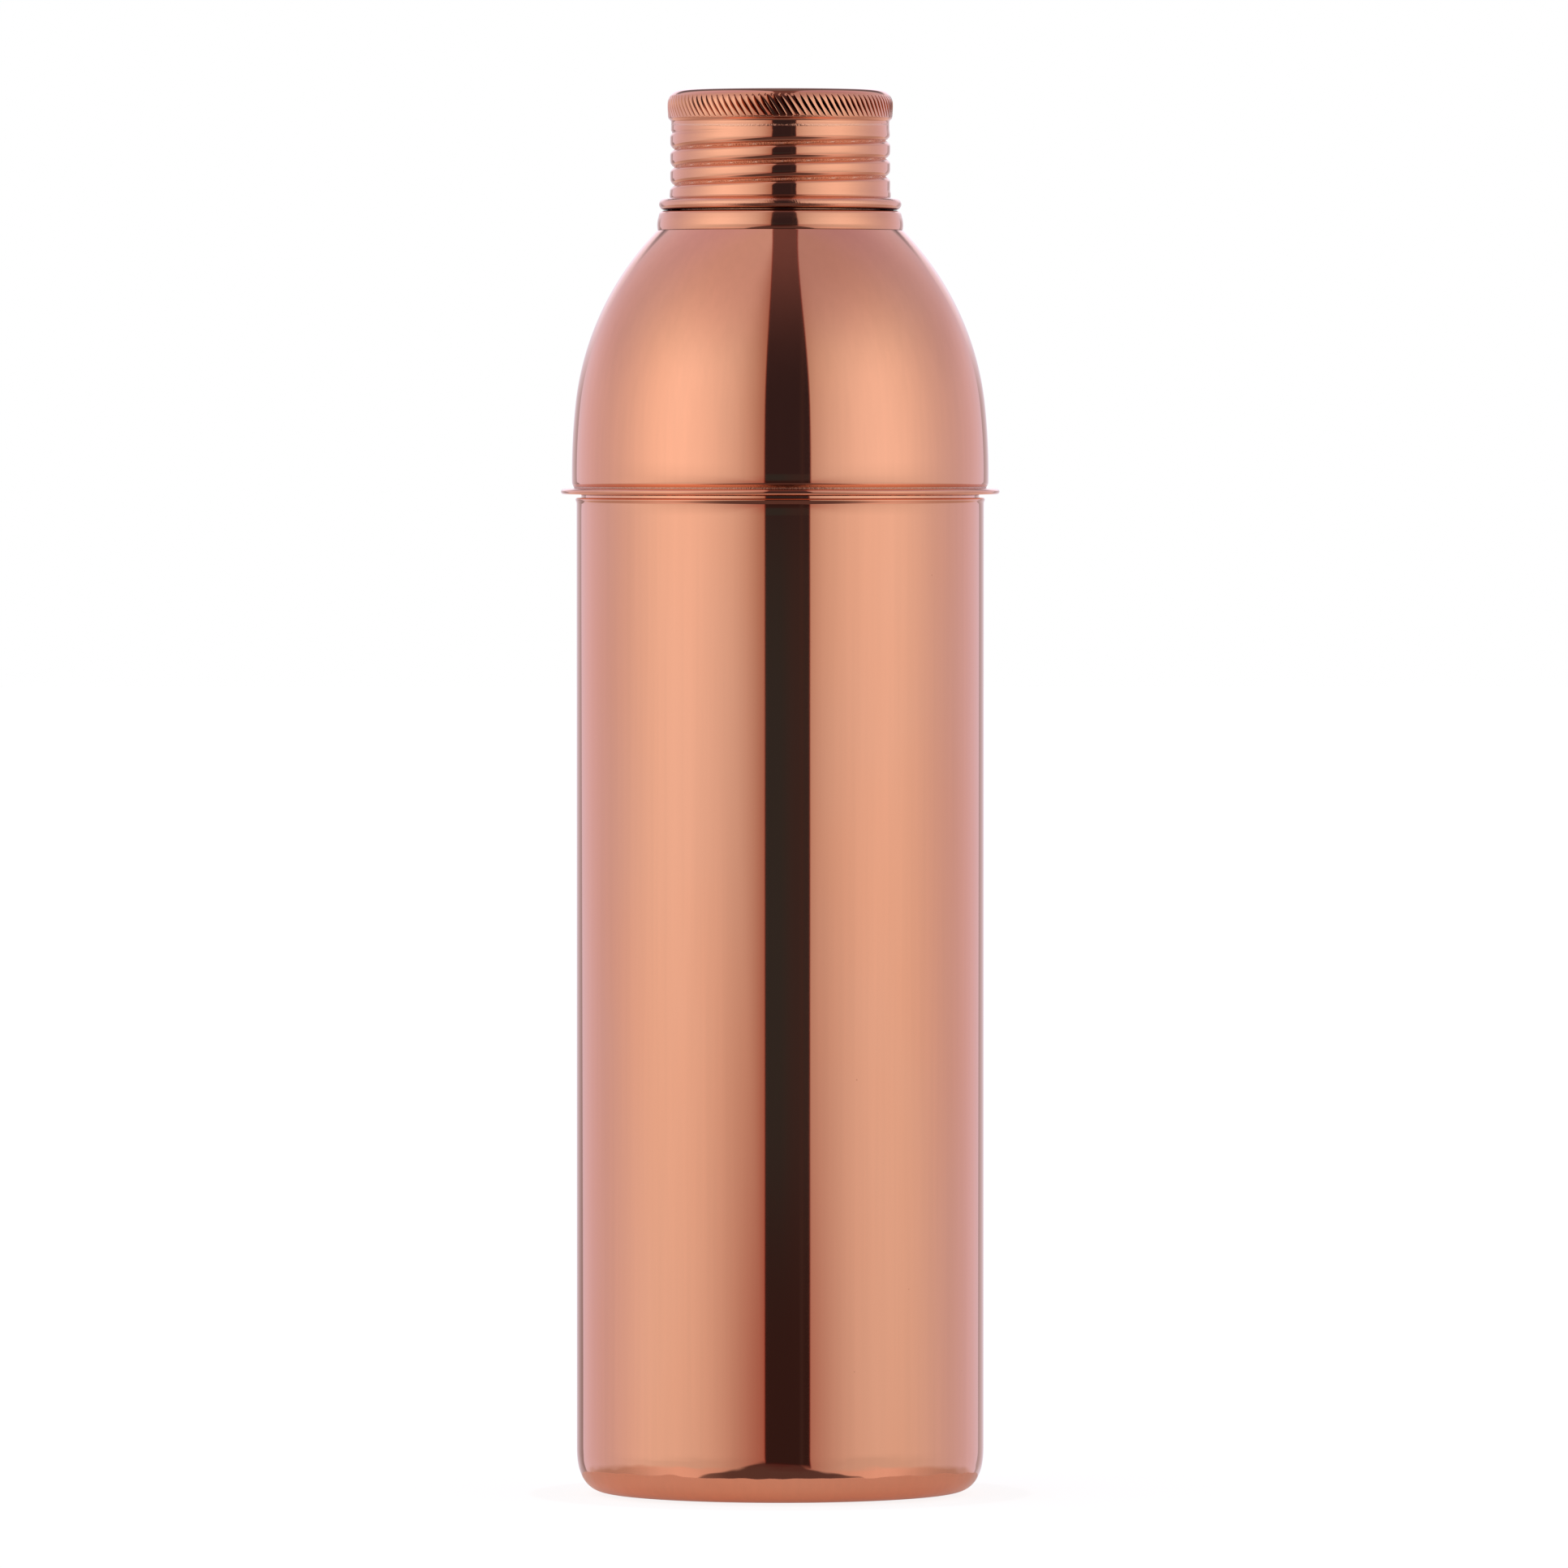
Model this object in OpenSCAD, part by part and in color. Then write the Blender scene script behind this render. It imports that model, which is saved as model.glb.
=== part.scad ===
// Copper water bottle with a screw cap, drawn and rolled from thin sheet.
// Millimetres, Z up, origin at the centre of the base on the surface it stands on.

/* [Sheet] */
// thickness of the copper sheet that every shell is made of
sheet = 0.55; // [0.45:0.05:0.65]

/* [Body] */
// outer radius of the body
body_r = 37.5; // [34:0.5:42]
// height of the body's mouth above the base
body_h = 183.15; // [140:1:220]
// outer radius of the rounded corner at the base
corner_r = 6; // [5:0.5:8]
// radius of the dished middle of the base
dish_r = 24; // [18:1:27]
// how far the middle of the base is raised
dish_h = 1.2; // [0.8:0.1:2]

/* [Shoulder] */
// how far the flange stands out past the body's wall
flange_out = 2.9; // [2.2:0.1:3.6]
// width of the groove between the body's mouth and the flange
groove_h = 0.6; // [0.4:0.05:0.8]
// how deep the sleeve drops into the body
sleeve_h = 7; // [5:0.5:10]
// radius of the dome's main arc, from the neck down
dome_arc_r = 54; // [52:1:58]
// radius of the flatter arc that runs down into the flange
dome_foot_arc_r = 120; // [110:5:140]

/* [Neck] */
// outer radius of the neck tube at the thread's root
neck_r = 18.55; // [18:0.05:18.6]
// how far the collar stands out past the neck tube
collar_out = 4.1; // [3.8:0.1:4.4]
// outer radius of the rolled pouring lip
lip_curl_r = 0.9; // [0.8:0.05:1]

/* [Thread] */
// rise of the thread in one turn
pitch = 3.3; // [3:0.1:4]
// number of turns of thread on the neck and in the cap
turns = 3.5; // [2:0.5:3.5]
// radial depth of the thread
thread_depth = 0.85; // [0.6:0.05:0.9]
// radial play between the thread of the cap and that of the neck
thread_play = 0.3; // [0.25:0.05:0.4]
// flat sides in one turn of each rolled thread
thread_sides = 40; // [32:4:56]

/* [Cap] */
// overall height of the cap
cap_h = 22; // [21:0.25:24]
// gap between the cap's bead and the collar when the cap is screwed down
cap_gap = 0.15; // [0.1:0.05:1]
// outer radius of the curled bead at the cap's skirt
bead_r = 1; // [0.8:0.05:1.1]
// height of the knurled band below the crown
knurl_h = 5; // [4:0.25:5.5]
// number of knurl ridges around the cap
knurl_count = 104; // [80:4:120]
// depth of the knurl at the middle of its band
knurl_depth = 0.22; // [0.1:0.02:0.25]
// thickness of the silicone gasket
gasket_h = 1.85; // [1.5:0.05:2]

/* [Hidden] */
$fn = 96;

copper = [0.85, 0.52, 0.40];
braze_alloy = [0.72, 0.62, 0.50];
silicone = [0.90, 0.89, 0.86];

// body
body_in_r = body_r - sheet;
mouth_lip_r = 0.37;
mouth_lip_out = 0.2;
foot_r = body_r - corner_r;
dish_slope = 2;

// shoulder: two tangent arcs make the dome's outer line
braze_gap = 0.3;
sleeve_r = body_in_r - braze_gap;
flange_z = body_h + groove_h;
flange_h = 1;
flange_r = body_r + flange_out;
dome_r = body_r + 0.87;
foot_arc_z = flange_z + 3.85;
arc_joint_angle = 6;
foot_arc_x = dome_r - dome_foot_arc_r;
joint_x = foot_arc_x + dome_foot_arc_r * cos(arc_joint_angle);
joint_z = foot_arc_z + dome_foot_arc_r * sin(arc_joint_angle);
dome_arc_x = joint_x - dome_arc_r * cos(arc_joint_angle);
dome_arc_z = joint_z - dome_arc_r * sin(arc_joint_angle);
flare_r = 1;
ledge_r = neck_r + 1.95;
ledge_z = dome_arc_z + sqrt(pow(dome_arc_r, 2) - pow(ledge_r - dome_arc_x, 2));
dome_hole_r = neck_r + 0.05;

// neck
collar_h = 1.65;
collar_r = neck_r + collar_out;
collar_round_r = 5;
collar_nose_z = ledge_z - 1;
collar_foot_z = ledge_z - 2.6;
collar_edge_r = 1.1;
cap_z = ledge_z + collar_h + cap_gap;
cap_top_z = cap_z + cap_h;
neck_foot_z = ledge_z - 3.2;
gasket_z = cap_top_z - sheet - 0.05 - gasket_h;
neck_top_z = gasket_z - 0.05;
braze_fillet = 1.3;

// sections of one wall overlap by lap in height and differ by edge outside and bore_edge inside,
// so that they join cleanly
thread_z = cap_z + 3.1;
thread_h = turns * pitch;
thread_start_z = thread_z + pitch * 0.575;
groove_place = 0.35;
fade_h = 1.4;
lap = 0.15;
edge = 0.04;
bore_edge = 0.1;
rows_in_turn = 6;
thread_rows = turns * rows_in_turn;

// cap, from the inside out
cap_in_r = neck_r + thread_depth + thread_play;
cap_r = cap_in_r + sheet;
cap_neck_r = cap_r - 0.35;
bead_x = cap_r + 1.05;
bead_z = cap_z + bead_r;
flange_top_z = bead_z + bead_r;
knurl_z = cap_top_z - 0.45 - knurl_h;
crown_corner_r = 2.5;
crown_corner_z = cap_top_z - crown_corner_r;
knurl_r = cap_r + 0.48;
knurl_arc_r = 12.6;
knurl_shift = 3.7;
knurl_rows = 4;
gasket_r = cap_r - 1.75;
gasket_hole_r = neck_r - 3.4;

// ---------- shared shapes ----------

// a ring's section: from radius r0 to r1 and from height z0 to z1
module band(r0, r1, z0, z1) {
    translate([r0, z0]) square([r1 - r0, z1 - z0]);
}

// a disc in the section plane
module disc(x, z, r) {
    translate([x, z]) circle(r);
}

// one sheet's thickness of a tube seen end on, the section of a curled edge
module curl(x, z, r) {
    difference() {
        disc(x, z, r);
        disc(x, z, r - sheet);
    }
}

// half of a cosine wave that runs from 0 at x = 0 to 1 at x = 1
function ease(x) = (1 - cos(180 * min(max(x, 0), 1))) / 2;

// how far the thread is cut in, from 0 on the ridge to 1 in the groove, at a share of one turn above the ridge
function cut(u) = u < groove_place ? ease(u / groove_place) : ease((1 - u) / (1 - groove_place));

// the share of one turn between a point and the ridge below it
function above_ridge(angle, z) =
    let (turn = (z - thread_start_z) / pitch - angle / 360)
    turn - floor(turn);

// 0 at both ends of the threaded stretch and 1 between them
function fade(z) =
    ease((z - thread_z - 2 * lap) / fade_h) * ease((thread_z + thread_h - 2 * lap - z) / fade_h);

// the cap's wall draws in a little above its thread
function cap_wall_r(z) = cap_r - (cap_r - cap_neck_r) * ease((z - thread_z - thread_h + fade_h) / fade_h);

function cap_thread_r(angle, z) = cap_wall_r(z) - thread_depth * fade(z) * cut(above_ridge(angle, z));
function neck_thread_r(angle, z) = neck_r + thread_depth * fade(z) * (1 - cut(above_ridge(angle, z)));

// a ring of points around the axis at one height
function ring(radii, z) = [
    for (i = [0 : len(radii) - 1])
        [radii[i] * cos(360 * i / len(radii)), radii[i] * sin(360 * i / len(radii)), z]
];

// the faces of one stack of rings of n points each, from point first on
function stack_faces(first, rows, n) = [
    for (k = [0 : rows - 2], i = [0 : n - 1]) each let (
        a = first + k * n + i,
        b = first + k * n + (i + 1) % n
    ) [[b, a, a + n], [b, a + n, b + n]]
];

// a flat ring of faces between two rings of n points each
function end_faces(outer, inner, n) = [
    for (i = [0 : n - 1]) each let (
        j = (i + 1) % n
    ) [[outer + i, outer + j, inner + i], [outer + j, inner + j, inner + i]]
];

function reversed(faces) = [for (f = faces) [f[2], f[1], f[0]]];

// a closed tube between an outer stack of rings and an inner one, which start and end level
module ring_tube(outer, inner) {
    n = len(outer[0]);
    inside = len(outer) * n;
    polyhedron(
        points = [for (r = concat(outer, inner), p = r) p],
        faces = concat(
            stack_faces(0, len(outer), n),
            reversed(stack_faces(inside, len(inner), n)),
            end_faces(0, inside, n),
            reversed(end_faces(inside - n, inside + (len(inner) - 1) * n, n))
        )
    );
}

// a tube with a rolled thread, from its outer radius as a function of angle and height
module threaded_tube(radius) {
    angles = [for (i = [0 : thread_sides - 1]) 360 * i / thread_sides];
    cut_h = thread_h - 4 * lap;
    heights = concat(
        [thread_z],
        [for (k = [0 : thread_rows]) thread_z + 2 * lap + cut_h * k / thread_rows],
        [thread_z + thread_h]
    );
    ring_tube(
        [for (z = heights) ring([for (a = angles) radius(a, z)], z)],
        [for (z = heights) ring([for (a = angles) radius(a, z) - sheet], z)]
    );
}

// ---------- body ----------

module body_outline(grow) {
    difference() {
        union() {
            band(0, foot_r, grow, body_h);
            band(0, body_r - grow, corner_r, body_h);
            disc(foot_r, corner_r, corner_r - grow);
        }
        translate([-body_r, 0]) square([body_r, body_h]);
    }
}

module body_shell() {
    color(copper) rotate_extrude() {
        difference() {
            body_outline(0);
            difference() {
                body_outline(sheet);
                polygon([
                    [0, 0], [dish_r, 0], [dish_r, sheet],
                    [dish_r - dish_slope, sheet + dish_h], [0, sheet + dish_h]
                ]);
            }
            band(0, body_in_r, body_h - 1, body_h + 1);
            polygon([[0, -1], [dish_r, -1], [dish_r, 0], [dish_r - dish_slope, dish_h], [0, dish_h]]);
        }
        disc(body_r + mouth_lip_out - mouth_lip_r, body_h - mouth_lip_r, mouth_lip_r);
    }
}

// ---------- shoulder ----------

module dome_outline(grow) {
    intersection() {
        disc(foot_arc_x, foot_arc_z, dome_foot_arc_r - grow);
        band(0, body_r * 2, flange_z, joint_z);
    }
    intersection() {
        disc(dome_arc_x, dome_arc_z, dome_arc_r - grow);
        band(0, body_r * 2, joint_z, ledge_z - grow);
    }
}

module shoulder_shell() {
    flange_top = flange_z + flange_h;
    flare_x = dome_r + flare_r - 0.05;
    color(copper) rotate_extrude() difference() {
        union() {
            dome_outline(0);
            band(sleeve_r - sheet, flange_r - flange_h / 2, flange_z, flange_top);
            disc(flange_r - flange_h / 2, flange_z + flange_h / 2, flange_h / 2);
            band(sleeve_r - sheet, sleeve_r, flange_z - sleeve_h, flange_z + lap);
            difference() {
                band(dome_r - sheet, flare_x, flange_z + lap, flange_top + flare_r);
                disc(flare_x, flange_top + flare_r, flare_r);
            }
        }
        difference() {
            dome_outline(sheet);
            band(sleeve_r - sheet, body_r * 2, flange_z - 1, flange_top);
        }
        band(0, dome_hole_r, ledge_z - 2 * sheet, ledge_z + 1);
    }
}

module shoulder_braze() {
    color(braze_alloy) rotate_extrude()
        band(sleeve_r, body_in_r, flange_z - sleeve_h + 0.4, body_h - 0.1);
}

// ---------- neck ----------

module neck_tube() {
    thread_top_z = thread_z + thread_h;
    lip_x = neck_r - lip_curl_r;
    lip_z = neck_top_z - lip_curl_r;
    color(copper) {
        rotate_extrude() {
            band(neck_r - sheet - bore_edge, neck_r + edge, thread_top_z - lap, thread_top_z + lap);
            band(neck_r - sheet, neck_r, thread_top_z, lip_z);
            difference() {
                curl(lip_x, lip_z, lip_curl_r);
                band(lip_x, neck_r - sheet, lip_z - lip_curl_r, lip_z);
            }
        }
        threaded_tube(function(angle, z) neck_thread_r(angle, z));
        rotate_extrude() {
            band(neck_r - sheet - bore_edge, neck_r + edge, thread_z - lap, thread_z + lap);
            band(neck_r - sheet, neck_r, neck_foot_z, thread_z);
        }
    }
}

module neck_collar() {
    bore_r = neck_r + 0.05;
    nose_x = collar_r - collar_round_r;
    top_z = ledge_z + collar_h;
    edge_z = top_z - collar_edge_r;
    edge_x = nose_x + sqrt(pow(collar_round_r, 2) - pow(edge_z - collar_nose_z, 2)) - collar_edge_r;
    color(copper) rotate_extrude() difference() {
        union() {
            intersection() {
                disc(nose_x, collar_nose_z, collar_round_r);
                band(bore_r, collar_r + 1, collar_foot_z, edge_z);
            }
            band(bore_r, edge_x, edge_z, top_z);
            intersection() {
                disc(edge_x, edge_z, collar_edge_r);
                band(edge_x - edge, collar_r, edge_z - edge, top_z);
            }
        }
        dome_outline(0);
    }
}

module neck_braze() {
    under_z = ledge_z - sheet;
    color(braze_alloy) rotate_extrude() difference() {
        band(neck_r, neck_r + braze_fillet, under_z - braze_fillet, under_z);
        disc(neck_r + braze_fillet + 0.1, under_z - braze_fillet - 0.1, braze_fillet);
    }
}

// ---------- cap ----------

// the cap's outer line from the knurled band up to the crown
module crown_outline(grow) {
    corner_x = knurl_r - crown_corner_r;
    band(0, corner_x, knurl_z, cap_top_z - grow);
    intersection() {
        disc(corner_x, crown_corner_z, crown_corner_r - grow);
        band(0, knurl_r, crown_corner_z, cap_top_z);
    }
    intersection() {
        disc(knurl_r - knurl_arc_r, crown_corner_z, knurl_arc_r - grow);
        band(0, knurl_r, knurl_z - lap, crown_corner_z);
    }
}

// outer radius of the knurled band at a height
function crown_r(z) = z > crown_corner_z
    ? knurl_r - crown_corner_r + sqrt(pow(crown_corner_r, 2) - pow(z - crown_corner_z, 2))
    : knurl_r - knurl_arc_r + sqrt(pow(knurl_arc_r, 2) - pow(z - crown_corner_z, 2));

// slanted ridges and valleys, deepest at the middle of the band
module knurl_band() {
    sides = 2 * knurl_count;
    outer = [for (k = [0 : knurl_rows]) let (
        share = k / knurl_rows,
        z = knurl_z + knurl_h * share,
        depth = knurl_depth * (1 - pow(2 * share - 1, 2))
    ) [
        for (i = [0 : sides - 1]) let (
            angle = 360 * i / sides - knurl_shift * share,
            r = crown_r(z) - edge - (i % 2) * depth
        ) [r * cos(angle), r * sin(angle), z]
    ]];
    bore = [for (i = [0 : sides - 1]) cap_neck_r - sheet];
    ring_tube(outer, [ring(bore, knurl_z), ring(bore, knurl_z + knurl_h)]);
}

module cap_shell() {
    thread_top_z = thread_z + thread_h;
    color(copper) {
        difference() {
            union() {
                rotate_extrude() difference() {
                    crown_outline(0);
                    band(cap_neck_r - 2 * sheet, knurl_r + 1, knurl_z + lap, knurl_z + knurl_h - lap);
                }
                knurl_band();
                rotate_extrude()
                    band(cap_neck_r - sheet - bore_edge, cap_neck_r + edge, thread_top_z - lap, knurl_z + lap);
            }
            rotate_extrude() {
                crown_outline(sheet);
                band(0, cap_neck_r - sheet - bore_edge, thread_top_z - 1, knurl_z + lap);
            }
        }
        threaded_tube(function(angle, z) cap_thread_r(angle, z));
        rotate_extrude() {
            band(cap_in_r - bore_edge, cap_r + edge, bead_z + bead_r - sheet, thread_z + lap);
            band(cap_r, bead_x, flange_top_z - sheet, flange_top_z);
            difference() {
                curl(bead_x, bead_z, bead_r);
                band(bead_x - bead_r, bead_x, bead_z, flange_top_z);
            }
        }
    }
}

module cap_gasket() {
    color(silicone) rotate_extrude()
        band(gasket_hole_r, gasket_r, gasket_z, gasket_z + gasket_h);
}

body_shell();
shoulder_shell();
shoulder_braze();
neck_tube();
neck_collar();
neck_braze();
cap_shell();
cap_gasket();
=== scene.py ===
import math

import bpy
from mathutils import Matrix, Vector


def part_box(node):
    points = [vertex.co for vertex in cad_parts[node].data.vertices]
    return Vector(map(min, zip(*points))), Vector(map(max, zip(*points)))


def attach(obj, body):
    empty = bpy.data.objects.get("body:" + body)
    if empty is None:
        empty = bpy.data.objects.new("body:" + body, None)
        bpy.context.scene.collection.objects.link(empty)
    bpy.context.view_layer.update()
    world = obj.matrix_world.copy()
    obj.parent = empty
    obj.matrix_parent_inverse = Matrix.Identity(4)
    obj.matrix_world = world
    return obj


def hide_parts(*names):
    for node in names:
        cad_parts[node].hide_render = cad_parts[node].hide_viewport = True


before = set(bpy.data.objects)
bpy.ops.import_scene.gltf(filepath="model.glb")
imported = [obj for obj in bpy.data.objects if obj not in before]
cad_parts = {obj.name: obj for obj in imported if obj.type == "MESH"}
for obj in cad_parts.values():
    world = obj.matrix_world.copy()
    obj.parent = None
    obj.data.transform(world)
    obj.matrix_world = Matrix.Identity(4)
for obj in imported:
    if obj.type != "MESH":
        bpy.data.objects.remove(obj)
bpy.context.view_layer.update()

# Profiles are lists of (radius, height) in millimetres, as in the CAD. Blender works in metres. The small
# offsets in the profiles take the sharpness off an edge.
MM = 0.001
DEGREE = math.pi / 180


def extent(node):
    """A node's radius and its lowest and highest point, in millimetres, at rest."""
    low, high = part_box(node)
    return high[0] / MM, low[2] / MM, high[2] / MM


# the sheet copper and the body
SHEET = 0.55
WALL_R = 37.5
CORNER_R = 6.0
CORNER_H = 8.5
CORNER_POWER = 2.5
BODY_SIDES = 256

# The shoulder's sleeve, flange and dome. The dome's line is a steep foot arc and a main arc, which meet where
# both slope by DOME_JOINT degrees. Its top is a flat ledge with a hole for the neck.
SLEEVE_H = 7.0
SLEEVE_R = WALL_R - SHEET - 0.3
FLANGE_H = 1.0
DOME_R = WALL_R + 0.87
DOME_FOOT_RISE = 3.85
DOME_FOOT_ARC_R = 120.0
DOME_ARC_R = 54.0
DOME_JOINT = 6.0
LEDGE_R = 20.5
NECK_HOLE_R = 18.6

# the rolled thread, shared by cap and neck
PITCH = 3.3
THREAD_DEPTH = 0.85
THREAD_H = 11.55
THREAD_GAP = 0.3
THREAD_FOOT_ABOVE_CAP_FOOT = 3.1
RIDGE_ABOVE_THREAD_FOOT = 0.575 * PITCH
GROOVE_PLACE = 0.35

# the neck and the cap
NECK_R = 18.55
COLLAR_TOP = extent("neck_collar")[2]
CAP_FOOT = extent("cap_shell")[1]
CAP_TOP = extent("cap_shell")[2]
CAP_R = NECK_R + THREAD_DEPTH + THREAD_GAP + SHEET
CAP_WAIST_R = CAP_R - 0.16
CAP_BEAD_H = 2.0
CAP_SIDES = 208
THREAD_FOOT = CAP_FOOT + THREAD_FOOT_ABOVE_CAP_FOOT
THREAD_TOP = THREAD_FOOT + THREAD_H

# the cap's crown and its knurled band, which has slanted marks of six points each
CROWN_EDGE_R = 2.5
CROWN_Z = CAP_TOP - CROWN_EDGE_R
BULGE_R = 34.0
WAIST_LOW, WAIST_HIGH = CAP_TOP - 5.85, CAP_TOP - 5.1
KNURL_R = CAP_R + 0.44
KNURL_LOW, KNURL_HIGH = CAP_TOP - 5.2, CAP_TOP - 0.95
KNURL_TURN = 7.3 * DEGREE
KNURL_COUNT = 104
MARK_POINTS = 6
KNURL_SIDES = KNURL_COUNT * MARK_POINTS


def arc(x, z, radius, start, end, steps):
    """Points on an arc around (x, z), from start to end degrees, with 0 pointing straight out."""
    angles = [math.radians(start + (end - start) * i / steps) for i in range(steps + 1)]
    return [(x + radius * math.cos(a), z + radius * math.sin(a)) for a in angles]


def squared_quarter(power, steps):
    """A quarter of a unit superellipse, from (0, 1) to (1, 0), which turns more tightly in its middle."""
    angles = [math.pi / 2 * (1 - i / steps) for i in range(steps + 1)]
    return [(max(math.cos(a), 0.0) ** (2 / power), max(math.sin(a), 0.0) ** (2 / power)) for a in angles]


def smooth(low, high, value):
    """0 below low, 1 above high and an even S between them."""
    t = min(max((value - low) / (high - low), 0.0), 1.0)
    return t * t * (3 - 2 * t)


def spread(low, high, steps):
    """Evenly spaced values from low to high, both included."""
    return [low + (high - low) * i / steps for i in range(steps + 1)]


# ---------- meshes ----------

def strip(first_a, sides_a, first_b, sides_b):
    """The faces between two rings of points, where one ring may have a whole number of times more points."""
    count = min(sides_a, sides_b) if min(sides_a, sides_b) > 1 else max(sides_a, sides_b)

    def edge(first, sides, i):
        """The points of one ring that belong to face i."""
        if sides == 1:
            return [first]
        start, end = i * sides // count, (i + 1) * sides // count
        return [first + j % sides for j in range(start, end + 1)]

    return [edge(first_a, sides_a, i) + edge(first_b, sides_b, i)[::-1] for i in range(count)]


def skin(name, rows, marks=None):
    """A closed surface around the axis, from rows of (sides, point, inside).

    A row's point is (radius, height), or a function of the angle that gives it, with its own angle third
    if it is moved around the axis. A first and last row of 1 side close the surface on the axis; otherwise
    it closes on itself. The attribute inside is 1 on rows that only show when the bottle is open. marks
    gives two more attributes: groove, how deep a point lies in a rolled groove, and dull, how much
    painted shade a point gets: darker and rougher metal in notches, knurl cuts and narrow gaps.
    """
    points, insides, grooves, rough_painted_shades, firsts = [], [], [], [], []
    for sides, point, inside in rows:
        firsts.append(len(points))
        for i in range(sides):
            angle = 2 * math.pi * i / sides
            place = point(angle) if callable(point) else point
            radius, height = place[:2]
            angle = place[2] if len(place) == 3 else angle
            points.append((radius * math.cos(angle) * MM, radius * math.sin(angle) * MM, height * MM))
            groove, dull = marks(angle, radius, height) if marks and not inside else (0.0, 0.0)
            insides.append(inside)
            grooves.append(groove)
            rough_painted_shades.append(dull)
    faces = []
    pairs = [(k, k + 1) for k in range(len(rows) - 1)]
    if rows[0][0] > 1:
        pairs.append((len(rows) - 1, 0))
    for a, b in pairs:
        faces += strip(firsts[a], rows[a][0], firsts[b], rows[b][0])
    mesh = bpy.data.meshes.new(name)
    mesh.from_pydata(points, [], faces)
    for label, values in (("inside", insides), ("groove", grooves), ("dull", rough_painted_shades)):
        mesh.attributes.new(label, "FLOAT", "POINT").data.foreach_set("value", values)
    mesh.shade_smooth()
    mesh.set_sharp_from_angle(angle=38 * DEGREE)
    mesh.validate()
    obj = bpy.data.objects.new(name, mesh)
    bpy.context.collection.objects.link(obj)
    return obj


def rows_of(sides, points, inside=0.0):
    """One row for skin() from each point."""
    return [(sides, point, inside) for point in points]


def make_body():
    """The drawn cup: dished base, round corner, straight wall and a small turned lip at the mouth."""
    _, foot, top = extent("body_shell")
    rim_r, dish_r, dish_h = 24.0, 22.0, 1.2
    lip_r, lip_out = 0.37, 0.2
    foot_r = WALL_R - CORNER_R
    inner_r = WALL_R - SHEET
    lip_x, lip_z = WALL_R + lip_out - lip_r, top - lip_r

    outer = [(dish_r - 6, foot + dish_h), (dish_r - 0.4, foot + dish_h), (dish_r + 0.3, foot + dish_h - 0.12)]
    outer += [(rim_r - 0.5, foot + 0.2), (rim_r + 0.4, foot), (foot_r - 0.5, foot)]
    corner = squared_quarter(CORNER_POWER, 32)
    outer += [(foot_r + CORNER_R * x, foot + CORNER_H * (1 - z)) for x, z in corner]
    outer += [(WALL_R, foot + height) for height in (9, 12, 30, 70, 110, 150, 180)]
    flare = ((0, 1.1), (0.01, 0.95), (0.05, 0.8), (0.11, 0.66))
    outer += [(WALL_R + out, top - below) for out, below in flare]
    outer += arc(lip_x, lip_z, lip_r, -28, 90, 8)

    inner = arc(lip_x, lip_z, lip_r, 110, 170, 4)
    inner += [(inner_r, top - 1.2), (inner_r, top - 8), (inner_r, 100), (inner_r, foot + CORNER_R + 1)]
    inner += arc(foot_r, foot + CORNER_R, CORNER_R - SHEET, 0, -90, 16)
    inner += [(rim_r + 0.3, foot + SHEET), (rim_r - 0.5, foot + SHEET + 0.2)]
    inner += [(dish_r, foot + SHEET + dish_h - 0.1), (dish_r - 1, foot + SHEET + dish_h)]

    rows = [(1, (0, foot + dish_h), 0.0)] + rows_of(BODY_SIDES, outer)
    rows += rows_of(BODY_SIDES, inner, 1.0) + [(1, (0, foot + SHEET + dish_h), 1.0)]
    return skin("bottle_body", rows)


def dome_line(inset, low, steps_foot, steps_main, end_r):
    """The dome's line, inset by a distance, from height low up to radius end_r."""
    _, sleeve_foot, _ = extent("shoulder_shell")
    foot_x = DOME_R - DOME_FOOT_ARC_R
    foot_z = sleeve_foot + SLEEVE_H + DOME_FOOT_RISE
    joint = DOME_JOINT * DEGREE
    main_x = foot_x + (DOME_FOOT_ARC_R - DOME_ARC_R) * math.cos(joint)
    main_z = foot_z + (DOME_FOOT_ARC_R - DOME_ARC_R) * math.sin(joint)
    foot_r, main_r = DOME_FOOT_ARC_R - inset, DOME_ARC_R - inset
    start = math.degrees(math.asin((low - foot_z) / foot_r))
    end = math.degrees(math.acos((end_r - main_x) / main_r))
    foot_arc = arc(foot_x, foot_z, foot_r, start, DOME_JOINT, steps_foot)
    return foot_arc[:-1] + arc(main_x, main_z, main_r, DOME_JOINT, end, steps_main)


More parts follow.
